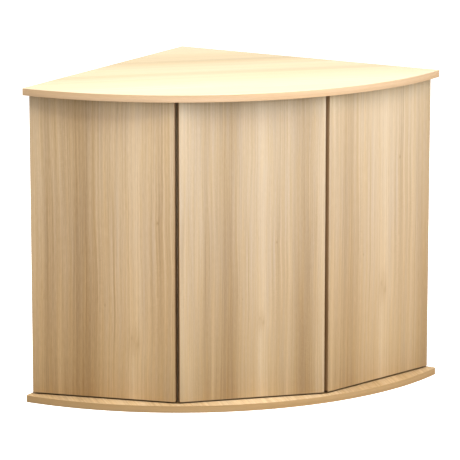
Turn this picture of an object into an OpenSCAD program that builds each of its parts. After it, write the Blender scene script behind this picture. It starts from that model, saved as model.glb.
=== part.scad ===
// Corner cabinet that carries a quarter-round aquarium.
// Two quarter-round boards, two wall-side panels, two partitions and two back rails make the carcass.
// Three flat doors close its front, each turned from the next by a third of a right angle.
// The origin is on the floor, midway across the width and midway from the wall corner to the arc.
// +X runs to the right, +Y to the wall corner and +Z up.

/* [Overall] */
// Height from the floor to the surface that carries the tank
cabinet_h = 730; // [600:1:900]
// Depth along each wall, which is the radius of the quarter-round boards
board_r = 700; // [580:1:860]
// Width cut off each pointed tip of the boards
tip_trim = 2.5; // [1:0.5:6]

/* [Boards and panels] */
// Thickness of the top and base boards
board_t = 16; // [13.5:0.1:25]
// Thickness of the side panels, partitions and back rails
panel_t = 16; // [13.5:0.1:22]
// Thickness of the edge banding on boards and doors
band_t = 1; // [0.4:0.1:2]
// Distance from the wall plane to the outer face of a side panel
side_inset = 5; // [2:0.5:20]
// Distance along each wall from the corner to the rear end of its side panel
corner_gap = 120; // [80:1:160]
// Height of the two back rails
rail_h = 90; // [70:1:150]
// Distance from the wall corner to the rear face of the back rails
rail_set = 120; // [100:1:170]

/* [Doors] */
// Thickness of a door
door_t = 16; // [14.5:0.1:22]
// Overhang of the boards beyond the line where two door faces would meet
overhang = 19; // [10:1:40]
// Clear distance between the rear corners of two neighbouring doors
door_gap = 1.8; // [1:0.1:5]
// Clear distance from a closed outer door to the wall plane
wall_gap = 2.2; // [1.5:0.1:8]
// Gap above and below each door
door_reveal = 3; // [2:0.5:6]
// Gap between the back of a closed door and the carcass
back_gap = 3.5; // [3.4:0.1:6]

/* [Hinges] */
// Diameter of the hinge cup
cup_d = 35; // [34:0.5:40]
// Depth of the hinge cup in the door
cup_depth = 12.5; // [12:0.1:13]
// Distance from the door's edge to the cup
cup_edge = 3; // [2.5:0.5:6]
// Distance from a door's end to the centre of its nearest hinge
hinge_inset = 100; // [70:1:160]
// Diameter of the hinge pin
pin_d = 2.2; // [1.8:0.1:2.4]
// Radial running clearance of the pin in the arm's knuckle
pin_clear = 0.05; // [0.02:0.01:0.1]
// Width of the arm at its knuckle
arm_w = 12; // [9:0.5:14]

/* [Push latches] */
// Distance from a door's free edge to its latch
latch_inset = 60; // [55:1:90]
// Diameter of the plunger's shaft
plunger_d = 6; // [5:0.1:8]
// Travel of the plunger
plunger_travel = 14; // [8:1:16]
// Radial running clearance of the plunger in its housing
plunger_clear = 0.06; // [0.02:0.01:0.1]

/* [Shelves] */
// Thickness of a shelf
shelf_t = 16; // [12:0.1:20]
// Height of the underside of the shelves above the floor
shelf_z = 352; // [200:1:480]
// Distance from the shelf's front edge to the carcass front
shelf_set = 25; // [15:1:80]
// Clearance of a shelf to the panels beside it
shelf_clear = 1; // [0.5:0.1:2]

/* [Joining hardware] */
// Diameter of the cam locks
cam_d = 15; // [12:0.5:18]
// Distance from a panel's end to the centre of its cam locks
cam_set = 34; // [30:1:40]
// Diameter of the wooden dowels
dowel_d = 8; // [6:0.5:10]
// Diameter of the shelf pins
shelf_pin_d = 5; // [4:0.5:6]

/* [Hidden] */
$fn = 96;

// Door numbers
LEFT = 0;
MIDDLE = 1;
RIGHT = 2;
DOORS = [LEFT, MIDDLE, RIGHT];
SIDES = [0, 1];

// Overshoot of a cut past the face that it opens
over = 1;
// Facets of the boards' arcs
arc_fn = 360;

// Plan of the front: three equal facets, each a chord between two corners of the door faces
facet_turn = 90 / len(DOORS);
half_turn = facet_turn / 2;
vertex_r = board_r - overhang;
face_d = vertex_r * cos(half_turn);
facet_len = 2 * vertex_r * sin(half_turn);
carcass_d = face_d - door_t - back_gap;
gap_margin = (door_gap + 2 * door_t * sin(half_turn)) / (2 * cos(half_turn));
wall_margin = (wall_gap + door_t * sin(half_turn)) / cos(half_turn);
hinge_margin = [wall_margin, gap_margin, wall_margin];
door_w = [
    facet_len - wall_margin - gap_margin,
    facet_len - 2 * gap_margin,
    facet_len - wall_margin - gap_margin
];

// Heights
inner_h = cabinet_h - 2 * board_t;
door_z0 = board_t + door_reveal;
door_z1 = cabinet_h - board_t - door_reveal;
hinge_z = [door_z0 + hinge_inset, door_z1 - hinge_inset];

// Side panels and partitions
side_inner = side_inset + panel_t;
side_front = (carcass_d - side_inner * sin(half_turn)) / cos(half_turn);
side_len = side_front - corner_gap;
part_outer = carcass_d * tan(half_turn);
part_inner = part_outer - panel_t;
mitre_offset = side_inner * sqrt(2);
part_len = carcass_d - part_outer - mitre_offset;
rail_half = rail_set + panel_t - mitre_offset;

// Hinges: u runs from the door's hinge edge, y inward from the back of the door
cup_wall = 1;
cup_u = cup_edge + cup_d / 2;
pin_inset = 5;
pin_height = 3.5;
pin_end_gap = 0.1;
pivot_u = cup_edge + pin_inset;
pivot_y = pin_height - cup_depth;
knuckle_wall = 0.85;
knuckle_r = pin_d / 2 + pin_clear + knuckle_wall;
arm_t = 2;
plate_t = 4;
arm_off = plate_t + arm_t / 2;
panel_turn = [half_turn, 0, half_turn];
face_u = [
    (side_inner + sin(half_turn) * (door_t + back_gap)) / cos(half_turn) - wall_margin,
    facet_len / 2 - gap_margin - part_inner,
    (side_inner + sin(half_turn) * (door_t + back_gap)) / cos(half_turn) - wall_margin
];
channel_start = 14;
channel_end = 62;
channel_rise = 8;
channel_half_w = 8;
channel_wall = 1.5;
foot_start = 20;
foot_end = 60;
foot_margin = 2;
rib_start = 22;
rib_end = 58;
rib_gap = 0.5;
wing_w = 12;
wing_margin = 8;
plate_screw_pitch = 32;
plate_screw_run = 40;
arm_screw_run = 50;
flange_t = 1.2;
flange_extra = 1.1;
cup_screw_offset = 6;
cup_screw_pitch = 48;
cup_ear_r = 6;

// Push latches
latch_drop = 10;
housing_w = 18;
housing_h = 17;
ear_w = 34;
ear_len = 24;
ear_t = 3;
latch_screw_x = 13;
plunger_hold = 26;
plunger_len = plunger_hold + plunger_travel;
spring_room = 12;
bore_len = plunger_len + spring_room;
bore_end = 8;
housing_len = bore_len + bore_end;
tip_rim = 1.5;
tip_r = plunger_d / 2 + tip_rim;
tip_len = 1.9;
strike_t = 1;
strike_rim = 2;
strike_r = tip_r + strike_rim;
rest_gap = 0.3;
plunger_y = strike_t + rest_gap - back_gap;
spring_gap = 0.2;
spring_wire_r = 0.4;
spring_turns = 7;
spring_steps = 12;
spring_sides = 6;

// Joining hardware
cam_depth = 12.5;
cam_bolt_r = 3;
cam_bolt_head_r = 3.5;
cam_bolt_hole_r = 4;
cam_bolt_head_len = 4;
cam_bolt_in_board = 11;
cam_slot_w = 1.6;
cam_rim = 3;
cam_slot_len = cam_d - 2 * cam_rim;
cam_slot_depth = 1.5;
dowel_in_board = 10;
dowel_in_panel = 20;
cam_end_inset = 60;
dowel_end_inset = 100;
shelf_pin_in = 8;
shelf_pin_out = 9;
shelf_pin_side = 60;
lug_w = 8;

// Screws: shank radius, length below the seat, head radius and head height
cup_screw = [1.75, 11 + flange_t, 3.5, 1.2];
plate_screw = [3, 10 + plate_t, 4.5, 1.6];
arm_screw = [2, channel_rise + channel_wall, 3.6, 1.4];
latch_screw = [1.75, 11 + ear_t, 3.15, 1.4];
cross_w = 1.2;
cross_depth = 0.8;
cross_share = 0.6;

// Shelves: corners of the left shelf in plan, and places of its pins along the panels beside it
shelf_x = part_outer + shelf_clear;
shelf_mitre = mitre_offset + shelf_clear * sqrt(2);
shelf_front_d = carcass_d - shelf_set;
shelf_front_y = (shelf_front_d - shelf_x * sin(facet_turn)) / cos(facet_turn);
shelf_tip_x = (shelf_front_d - shelf_mitre * cos(facet_turn)) / (sin(facet_turn) + cos(facet_turn));
shelf_wall_s = [
    (2 * shelf_x + shelf_mitre) / sqrt(2) + shelf_pin_side,
    (2 * shelf_tip_x + shelf_mitre) / sqrt(2) - shelf_pin_side
];
shelf_part_x = [
    carcass_d - shelf_front_y + shelf_pin_side,
    carcass_d - shelf_x - shelf_mitre - shelf_pin_side
];

// Colours
wood_light = [0.93, 0.83, 0.66];
wood_front = [0.86, 0.73, 0.55];
wood_edge = [0.82, 0.68, 0.49];
wood_inner = [0.89, 0.79, 0.62];
steel = [0.75, 0.76, 0.78];
zinc = [0.66, 0.67, 0.69];
plastic_grey = [0.62, 0.62, 0.60];
dowel_wood = [0.80, 0.66, 0.45];

// ---- Frames ----

// Children are drawn from the wall corner, with the cabinet towards -Y
module from_corner() {
    translate([0, board_r / 2, 0]) children();
}

// Children are drawn along a wall: x from the corner, y into the cabinet; side 0 is left, 1 right
module on_wall(side) {
    mirror([side, 0, 0]) from_corner() rotate([0, 0, 225]) children();
}

// Children are drawn on a partition: x from its front edge to the back, y to its outer face
module on_partition(side) {
    mirror([side, 0, 0]) from_corner() translate([-part_inner, -carcass_d, 0]) rotate([0, 0, 90]) children();
}

// Children are drawn on the back rails: x across, y to the front face
module on_rail() {
    from_corner() translate([rail_half, -rail_set, 0]) rotate([0, 0, 180]) children();
}

// Children are drawn on a door: x from its hinge edge, y inward from its back face, z from the floor
module on_door(i) {
    from_corner()
        rotate([0, 0, (i - MIDDLE) * facet_turn])
            mirror([i == RIGHT ? 1 : 0, 0, 0])
                translate([hinge_margin[i] - facet_len / 2, door_t - face_d, 0])
                    children();
}

// Children are drawn at both hinges of a door
module at_hinges(i) {
    on_door(i) for (z = hinge_z) translate([0, 0, z]) children();
}

// Children are drawn at both hinges on the panel's face: x off the face, y along it to the back
module at_plates(i) {
    at_hinges(i) translate([face_u[i], back_gap, 0]) rotate([0, 0, -panel_turn[i]]) children();
}

// Children are drawn at the latch: y inward from the carcass front, z from the plunger's axis
module at_latch(i) {
    on_door(i)
        translate([door_w[i] - latch_inset, back_gap, cabinet_h - board_t - latch_drop])
            children();
}

// ---- Shared shapes ----

// Cylinder along +Y
module rod_y(r, len) {
    rotate([-90, 0, 0]) cylinder(r = r, h = len);
}

// Round screw head with a cross recess, drawn along +Z from its seat
module screw_head(r, h) {
    cross_r = r * cross_share;
    difference() {
        cylinder(r = r, h = h);
        for (a = [0, 90])
            rotate([0, 0, a])
                translate([-cross_r, -cross_w / 2, h - cross_depth])
                    cube([2 * cross_r, cross_w, cross_depth + over]);
    }
}

// Screw drawn along +Z: shank below the seat, head above it
module screw(size) {
    translate([0, 0, -size[1]]) cylinder(r = size[0], h = size[1]);
    screw_head(size[2], size[3]);
}

// Quarter-round outline of radius r from the wall corner, with its tips trimmed
module quarter_outline(r) {
    reach = 2 * board_r;
    half_w = board_r * sin(45) - tip_trim;
    intersection() {
        circle(r = r, $fn = arc_fn);
        polygon([[0, 0], [-reach, -reach], [reach, -reach]]);
        translate([-half_w, -reach]) square([2 * half_w, reach]);
    }
}

// ---- Boards ----

module board_core(z0) {
    from_corner() translate([0, 0, z0]) linear_extrude(board_t) quarter_outline(board_r - band_t);
}

module board_band(z0) {
    from_corner()
        translate([0, 0, z0])
            linear_extrude(board_t)
                difference() {
                    quarter_outline(board_r);
                    circle(r = board_r - band_t, $fn = arc_fn);
                }
}

// ---- Joining hardware, drawn at one end of a panel: z runs from the joint into the panel ----

module cam_bolt() {
    translate([0, 0, -cam_bolt_in_board])
        cylinder(r = cam_bolt_r, h = cam_bolt_in_board + cam_set - cam_bolt_head_len);
    translate([0, 0, cam_set - cam_bolt_head_len])
        cylinder(r = cam_bolt_head_r, h = cam_bolt_head_len);
}

module cam_bolt_way() {
    translate([0, 0, -over]) cylinder(r = cam_bolt_hole_r, h = cam_set + over);
}

module cam_body() {
    translate([0, panel_t / 2 - cam_depth, cam_set]) rod_y(cam_d / 2, cam_depth);
}

module cam_lock() {
    difference() {
        cam_body();
        cam_bolt_way();
        translate([0, panel_t / 2 - cam_slot_depth, cam_set])
            for (a = [0, 90])
                rotate([0, a, 0])
                    translate([-cam_slot_len / 2, 0, -cam_slot_w / 2])
                        cube([cam_slot_len, cam_slot_depth + over, cam_slot_w]);
    }
}

module dowel() {
    translate([0, 0, -dowel_in_board]) cylinder(d = dowel_d, h = dowel_in_board + dowel_in_panel);
}

// Children are drawn at the lower end (end 0) or the upper end (end 1) of a vertical panel
module at_end(end) {
    translate([0, panel_t / 2, end == 0 ? board_t : cabinet_h - board_t])
        mirror([0, 0, end])
            children();
}

// Children are drawn at each cam of a vertical panel of the given length
module at_cams(len, ends) {
    for (end = ends, x = [cam_end_inset, len - cam_end_inset])
        translate([x, 0, 0]) at_end(end) children();
}

// Children are drawn at each dowel of a vertical panel of the given length
module at_dowels(len, ends) {
    for (end = ends, x = [dowel_end_inset, len - dowel_end_inset])
        translate([x, 0, 0]) at_end(end) children();
}

// Children are drawn at every cam of the carcass that sits at the given end of its panel
module at_all_cams(ends) {
    for (side = SIDES) {
        on_wall(side) translate([corner_gap, side_inset, 0]) at_cams(side_len, ends) children();
        on_partition(side) at_cams(part_len, ends) children();
    }
}

// Children are drawn at every dowel of the carcass that sits at the given end of its panel
module at_all_dowels(ends) {
    for (side = SIDES) {
        on_wall(side) translate([corner_gap, side_inset, 0]) at_dowels(side_len, ends) children();
        on_partition(side) at_dowels(part_len, ends) children();
    }
    at_rail_dowels(ends) children();
}

// Children are drawn at each dowel of the back rails
module at_rail_dowels(ends) {
    for (end = ends, x = [rail_half / 2, rail_half * 3 / 2])
        on_rail() translate([x, 0, 0]) at_end(end) children();
}

// Both screws of one latch, driven up into the top board
module screws_of_latch(i) {
    at_latch(i)
        for (x = [-latch_screw_x, latch_screw_x])
            translate([x, housing_len / 2, latch_drop - ear_t])
                mirror([0, 0, 1])
                    screw(latch_screw);
}

// ---- Carcass ----

module top_board() {
    color(wood_light)
        difference() {
            board_core(cabinet_h - board_t);
            at_all_cams([1]) cam_bolt();
            at_all_dowels([1]) dowel();
            for (i = DOORS) screws_of_latch(i);
        }
}

module top_edge_band() {
    color(wood_edge) board_band(cabinet_h - board_t);
}

module base_board() {
    color(wood_light)
        difference() {
            board_core(0);
            at_all_cams([0]) cam_bolt();
            at_all_dowels([0]) dowel();
        }
}

module base_edge_band() {
    color(wood_edge) board_band(0);
}

module side_panel(side) {
    door = side == 0 ? LEFT : RIGHT;
    difference() {
        on_wall(side) translate([corner_gap, side_inset, board_t]) cube([side_len, panel_t, inner_h]);
        on_wall(side)
            translate([corner_gap, side_inset, 0]) {
                at_cams(side_len, SIDES) cam_body();
                at_cams(side_len, SIDES) cam_bolt_way();
                at_dowels(side_len, SIDES) dowel();
            }
        plate_screws(door);
        on_wall(side) shelf_pin_row_wall();
    }
}

module left_side_panel() {
    color(wood_inner) side_panel(0);
}

module right_side_panel() {
    color(wood_inner) side_panel(1);
}

module partition(side) {
    difference() {
        on_partition(side)
            translate([0, 0, board_t])
                linear_extrude(inner_h)
                    polygon([
                        [0, 0], [part_len + panel_t, 0], [part_len, panel_t], [0, panel_t]
                    ]);
        on_partition(side) {
            at_cams(part_len, SIDES) cam_body();
            at_cams(part_len, SIDES) cam_bolt_way();
            at_dowels(part_len, SIDES) dowel();
            shelf_pin_row_partition();
        }
        if (side == 0) plate_screws(MIDDLE);
    }
}

module left_partition() {
    color(wood_inner) partition(0);
}

module right_partition() {
    color(wood_inner) partition(1);
}

module back_rail(end) {
    z0 = end == 0 ? board_t : cabinet_h - board_t - rail_h;
    difference() {
        on_rail()
            translate([0, 0, z0])
                linear_extrude(rail_h)
                    polygon([
                        [panel_t, 0], [2 * rail_half - panel_t, 0],
                        [2 * rail_half, panel_t], [0, panel_t]
                    ]);
        at_rail_dowels([end]) dowel();
    }
}

module upper_back_rail() {
    color(wood_inner) back_rail(1);
}

module lower_back_rail() {
    color(wood_inner) back_rail(0);
}

// ---- Shelves ----

module shelf(side) {
    mirror([side, 0, 0])
        from_corner()
            translate([0, 0, shelf_z])
                linear_extrude(shelf_t)
                    polygon([
                        [-shelf_x, -shelf_x - shelf_mitre],
                        [-shelf_tip_x, -shelf_tip_x - shelf_mitre],
                        [-shelf_x, -shelf_front_y]
                    ]);
}

module left_shelf() {
    color(wood_inner) shelf(0);
}

module right_shelf() {
    color(wood_inner) shelf(1);
}

// Pin in its panel with a flat lug that the shelf rests on; y runs out of the panel
module shelf_pin() {
    translate([0, -shelf_pin_in, -shelf_pin_d / 2]) rod_y(shelf_pin_d / 2, shelf_pin_in);
    translate([-lug_w / 2, 0, -shelf_pin_d]) cube([lug_w, shelf_pin_out, shelf_pin_d]);
}

module shelf_pin_row_wall() {
    for (s = shelf_wall_s) translate([s, side_inner, shelf_z]) shelf_pin();
}

module shelf_pin_row_partition() {
    for (x = shelf_part_x) translate([x, panel_t, shelf_z]) shelf_pin();
}

module shelf_pins() {
    color(steel)
        for (side = SIDES) {
            on_wall(side) shelf_pin_row_wall();
            on_partition(side) shelf_pin_row_partition();
        }
}

module dowels() {
    color(dowel_wood) at_all_dowels(SIDES) dowel();
}

module cam_bolts() {
    color(steel) at_all_cams(SIDES) cam_bolt();
}

module cam_locks() {
    color(zinc) at_all_cams(SIDES) cam_lock();
}

// ---- Doors ----

module door_outer(i) {
    translate([0, -door_t, door_z0]) cube([door_w[i], door_t, door_z1 - door_z0]);
}

module door_inner(i) {
    translate([band_t, -door_t, door_z0 + band_t])
        cube([door_w[i] - 2 * band_t, door_t, door_z1 - door_z0 - 2 * band_t]);
}

module door_panel(i) {
    difference() {
        on_door(i) door_inner(i);
        at_hinges(i) {
            translate([cup_u, -cup_depth, 0]) rod_y(cup_d / 2, cup_depth + over);
            cup_screw_set();
        }
    }
}

module left_door() {
    color(wood_front) door_panel(LEFT);
}

module middle_door() {
    color(wood_front) door_panel(MIDDLE);
}

module right_door() {
    color(wood_front) door_panel(RIGHT);
}

module door_band(i) {
    on_door(i)
        difference() {
            door_outer(i);
            translate([0, -over, 0]) door_inner(i);
            translate([0, over, 0]) door_inner(i);
        }
}

module left_door_edge_band() {
    color(wood_edge) door_band(LEFT);
}

module middle_door_edge_band() {
    color(wood_edge) door_band(MIDDLE);
}

module right_door_edge_band() {
    color(wood_edge) door_band(RIGHT);
}

// ---- Hinges ----

// Pin across the cup, held in its wall at both ends
module hinge_pin() {
    edge_offset = cup_u - pivot_u + pin_d / 2;
    half_len = sqrt(pow(cup_d / 2, 2) - pow(edge_offset, 2)) - pin_end_gap;
    translate([pivot_u, pivot_y, -half_len]) cylinder(d = pin_d, h = 2 * half_len);
}

module hinge_cup() {
    ear_u = cup_u + cup_screw_offset;
    difference() {
        union() {
            translate([cup_u, -cup_depth, 0]) rod_y(cup_d / 2, cup_depth);
            translate([cup_u, 0, 0]) rod_y(cup_d / 2 + flange_extra, flange_t);
            translate([ear_u - cup_ear_r, 0, -cup_screw_pitch / 2])
                cube([2 * cup_ear_r, flange_t, cup_screw_pitch]);
            for (s = [-1, 1])
                translate([ear_u, 0, s * cup_screw_pitch / 2]) rod_y(cup_ear_r, flange_t);
        }
        translate([cup_u, cup_wall - cup_depth, 0]) rod_y(cup_d / 2 - cup_wall, cup_depth + flange_t);
        hinge_pin();
        cup_screw_set();
    }
}

module cup_screw_set() {
    for (s = [-1, 1])
        translate([cup_u + cup_screw_offset, flange_t, s * cup_screw_pitch / 2])
            rotate([-90, 0, 0])
                screw(cup_screw);
}

// Plan outline of the neck: knuckle at the pivot, straight hook, then the leg along the panel
module neck_outline(i) {
    turn = panel_turn[i];
    run = (pivot_y - back_gap + arm_off * sin(turn)) / cos(turn);
    elbow_u = face_u[i] + arm_off * cos(turn) + run * sin(turn);
    difference() {
        union() {
            translate([pivot_u, pivot_y]) circle(r = knuckle_r);
            translate([pivot_u, pivot_y - arm_t / 2]) square([elbow_u - pivot_u, arm_t]);
            translate([elbow_u, pivot_y]) circle(d = arm_t);
            translate([elbow_u, pivot_y])
                rotate(-turn)
                    translate([-arm_t / 2, 0])
                        square([arm_t, channel_start + channel_wall - run]);
        }
        translate([pivot_u, pivot_y]) circle(r = pin_d / 2 + pin_clear);
    }
}

module hinge_arms(i) {
    difference() {
        union() {
            at_hinges(i) translate([0, 0, -arm_w / 2]) linear_extrude(arm_w) neck_outline(i);
            at_plates(i)
                difference() {
                    translate([plate_t, channel_start, -channel_half_w])
                        cube([channel_rise + channel_wall, channel_end - channel_start, 2 * channel_half_w]);
                    translate([plate_t - over, channel_start + channel_wall, channel_wall - channel_half_w])
                        cube([
                            channel_rise + over,
                            channel_end - channel_start,
                            2 * (channel_half_w - channel_wall)
                        ]);
                }
        }
        arm_screws(i);
    }
}

module hinge_plates(i) {
    foot_half_w = channel_half_w + foot_margin;
    rib_half_w = channel_half_w - channel_wall - rib_gap;
    wing_reach = plate_screw_pitch / 2 + wing_margin;
    difference() {
        at_plates(i) {
            translate([0, foot_start, -foot_half_w])
                cube([plate_t, foot_end - foot_start, 2 * foot_half_w]);
            translate([0, plate_screw_run - wing_w / 2, -wing_reach])
                cube([plate_t, wing_w, 2 * wing_reach]);
            translate([plate_t, rib_start, -rib_half_w])
                cube([channel_rise - rib_gap, rib_end - rib_start, 2 * rib_half_w]);
        }
        plate_screws(i);
        arm_screws(i);
    }
}

module plate_screws(i) {
    at_plates(i)
        for (s = [-1, 1])
            translate([plate_t, plate_screw_run, s * plate_screw_pitch / 2])
                rotate([0, 90, 0])
                    screw(plate_screw);
}

module arm_screws(i) {
    at_plates(i)
        translate([plate_t + channel_rise + channel_wall, arm_screw_run, 0])
            rotate([0, 90, 0])
                screw(arm_screw);
}

module left_hinge_cups() {
    color(steel) at_hinges(LEFT) hinge_cup();
}

module middle_hinge_cups() {
    color(steel) at_hinges(MIDDLE) hinge_cup();
}

module right_hinge_cups() {
    color(steel) at_hinges(RIGHT) hinge_cup();
}

module left_hinge_pins() {
    color(zinc) at_hinges(LEFT) hinge_pin();
}

module middle_hinge_pins() {
    color(zinc) at_hinges(MIDDLE) hinge_pin();
}

module right_hinge_pins() {
    color(zinc) at_hinges(RIGHT) hinge_pin();
}

module left_cup_screws() {
    color(zinc) at_hinges(LEFT) cup_screw_set();
}

module middle_cup_screws() {
    color(zinc) at_hinges(MIDDLE) cup_screw_set();
}

module right_cup_screws() {
    color(zinc) at_hinges(RIGHT) cup_screw_set();
}

module left_hinge_arms() {
    color(steel) hinge_arms(LEFT);
}

module middle_hinge_arms() {
    color(steel) hinge_arms(MIDDLE);
}

module right_hinge_arms() {
    color(steel) hinge_arms(RIGHT);
}

module left_hinge_plates() {
    color(steel) hinge_plates(LEFT);
}

module middle_hinge_plates() {
    color(steel) hinge_plates(MIDDLE);
}

module right_hinge_plates() {
    color(steel) hinge_plates(RIGHT);
}

module hinge_plate_screws() {
    color(zinc) for (i = DOORS) plate_screws(i);
}

module arm_fixing_screws() {
    color(zinc) for (i = DOORS) arm_screws(i);
}

// ---- Push latches ----

module latch_housing(i) {
    difference() {
        at_latch(i)
            difference() {
                union() {
                    translate([-housing_w / 2, 0, latch_drop - housing_h])
                        cube([housing_w, housing_len, housing_h]);
                    translate([-ear_w / 2, (housing_len - ear_len) / 2, latch_drop - ear_t])
                        cube([ear_w, ear_len, ear_t]);
                }
                translate([0, -over, 0]) rod_y(plunger_d / 2 + plunger_clear, bore_len + over);
            }
        screws_of_latch(i);
    }
}

module latch_plunger(i) {
    at_latch(i)
        translate([0, plunger_y, 0]) {
            rod_y(tip_r, tip_len);
            rod_y(plunger_d / 2, plunger_len);
        }
}

// Coil spring between the plunger's rear end and the end of the bore
module latch_spring(i) {
    coil_r = plunger_d / 2 - spring_wire_r - spring_gap;
    front = plunger_y + plunger_len + spring_gap + spring_wire_r;
    rise = (bore_len - spring_gap - spring_wire_r - front) / (spring_turns * spring_steps);
    last = spring_turns * spring_steps;
    points = [
        for (k = [0:last], j = [0:spring_sides - 1])
            let (
                along = k * 360 / spring_steps,
                round = j * 360 / spring_sides,
                r = coil_r + spring_wire_r * cos(round)
            )
            [r * cos(along), front + k * rise + spring_wire_r * sin(round), r * sin(along)]
    ];
    walls = [
        for (k = [0:last - 1], j = [0:spring_sides - 1])
            let (a = k * spring_sides + j, b = k * spring_sides + (j + 1) % spring_sides)
            [a, a + spring_sides, b + spring_sides, b]
    ];
    ends = [
        [for (j = [0:spring_sides - 1]) j],
        [for (j = [spring_sides - 1:-1:0]) last * spring_sides + j]
    ];
    at_latch(i) polyhedron(points = points, faces = concat(walls, ends));
}

module strike_plate(i) {
    at_latch(i) translate([0, -back_gap, 0]) rod_y(strike_r, strike_t);
}

module left_latch_housing() {
    color(plastic_grey) latch_housing(LEFT);
}

module middle_latch_housing() {
    color(plastic_grey) latch_housing(MIDDLE);
}

module right_latch_housing() {
    color(plastic_grey) latch_housing(RIGHT);
}

module left_latch_plunger() {
    color(plastic_grey) latch_plunger(LEFT);
}

module middle_latch_plunger() {
    color(plastic_grey) latch_plunger(MIDDLE);
}

module right_latch_plunger() {
    color(plastic_grey) latch_plunger(RIGHT);
}

module left_latch_spring() {
    color(steel) latch_spring(LEFT);
}

module middle_latch_spring() {
    color(steel) latch_spring(MIDDLE);
}

module right_latch_spring() {
    color(steel) latch_spring(RIGHT);
}

module left_strike_plate() {
    color(steel) strike_plate(LEFT);
}

module middle_strike_plate() {
    color(steel) strike_plate(MIDDLE);
}

module right_strike_plate() {
    color(steel) strike_plate(RIGHT);
}

module latch_screws() {
    color(zinc) for (i = DOORS) screws_of_latch(i);
}

top_board();
top_edge_band();
base_board();
base_edge_band();
left_side_panel();
right_side_panel();
left_partition();
right_partition();
upper_back_rail();
lower_back_rail();
left_shelf();
right_shelf();
shelf_pins();
dowels();
cam_bolts();
cam_locks();
left_door();
middle_door();
right_door();
left_door_edge_band();
middle_door_edge_band();
right_door_edge_band();
left_hinge_cups();
middle_hinge_cups();
right_hinge_cups();
left_hinge_pins();
middle_hinge_pins();
right_hinge_pins();
left_cup_screws();
middle_cup_screws();
right_cup_screws();
left_hinge_arms();
middle_hinge_arms();
right_hinge_arms();
left_hinge_plates();
middle_hinge_plates();
right_hinge_plates();
hinge_plate_screws();
arm_fixing_screws();
left_latch_housing();
middle_latch_housing();
right_latch_housing();
left_latch_plunger();
middle_latch_plunger();
right_latch_plunger();
left_latch_spring();
middle_latch_spring();
right_latch_spring();
left_strike_plate();
middle_strike_plate();
right_strike_plate();
latch_screws();
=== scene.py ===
"""Finishes, fittings and studio for a corner aquarium cabinet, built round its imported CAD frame."""

import logging
import math
from dataclasses import dataclass, replace
from enum import Enum
from typing import Sequence, Union

import bpy
from mathutils import Euler, Matrix, Vector


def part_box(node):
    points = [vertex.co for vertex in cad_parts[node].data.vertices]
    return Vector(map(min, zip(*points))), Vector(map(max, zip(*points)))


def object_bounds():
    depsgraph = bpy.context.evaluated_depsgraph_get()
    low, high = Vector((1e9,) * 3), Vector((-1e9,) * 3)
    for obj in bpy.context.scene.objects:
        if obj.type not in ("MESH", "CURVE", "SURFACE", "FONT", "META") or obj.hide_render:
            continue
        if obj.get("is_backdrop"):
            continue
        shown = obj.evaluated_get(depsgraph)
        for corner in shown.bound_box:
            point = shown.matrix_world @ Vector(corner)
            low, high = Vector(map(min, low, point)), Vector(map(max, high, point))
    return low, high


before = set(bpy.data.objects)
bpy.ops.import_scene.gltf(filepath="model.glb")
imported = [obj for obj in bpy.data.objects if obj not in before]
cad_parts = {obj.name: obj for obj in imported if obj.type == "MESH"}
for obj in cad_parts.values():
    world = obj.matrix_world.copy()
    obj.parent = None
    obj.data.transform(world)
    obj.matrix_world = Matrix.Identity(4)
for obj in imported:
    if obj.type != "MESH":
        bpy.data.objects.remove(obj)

Colour = tuple[float, float, float]
Socket = bpy.types.NodeSocket
Material = bpy.types.Material
Operand = Union[Socket, float, Sequence[float]]

LOG = logging.getLogger("corner_cabinet")
MM = 0.001
RIGHTWARD = Vector((1.0, 0.0, 0.0))
BACKWARD = Vector((0.0, 1.0, 0.0))
UPWARD = Vector((0.0, 0.0, 1.0))
WHITE = (1.0, 1.0, 1.0, 1.0)


class DoorPlace(Enum):
    """The three doors; the value is each one's turn in units of one facet."""

    LEFT = -1
    MIDDLE = 0
    RIGHT = 1

    @property
    def label(self) -> str:
        """The word that starts the door's node names."""
        return self.name.lower()


class Steel(Enum):
    """Surface treatments of the metal fittings; the value is the record's slot."""

    NICKEL = "nickel_steel"
    ZINC_PLATED = "screw_steel"
    DIE_CAST = "zinc"


# ---- node trees


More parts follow.
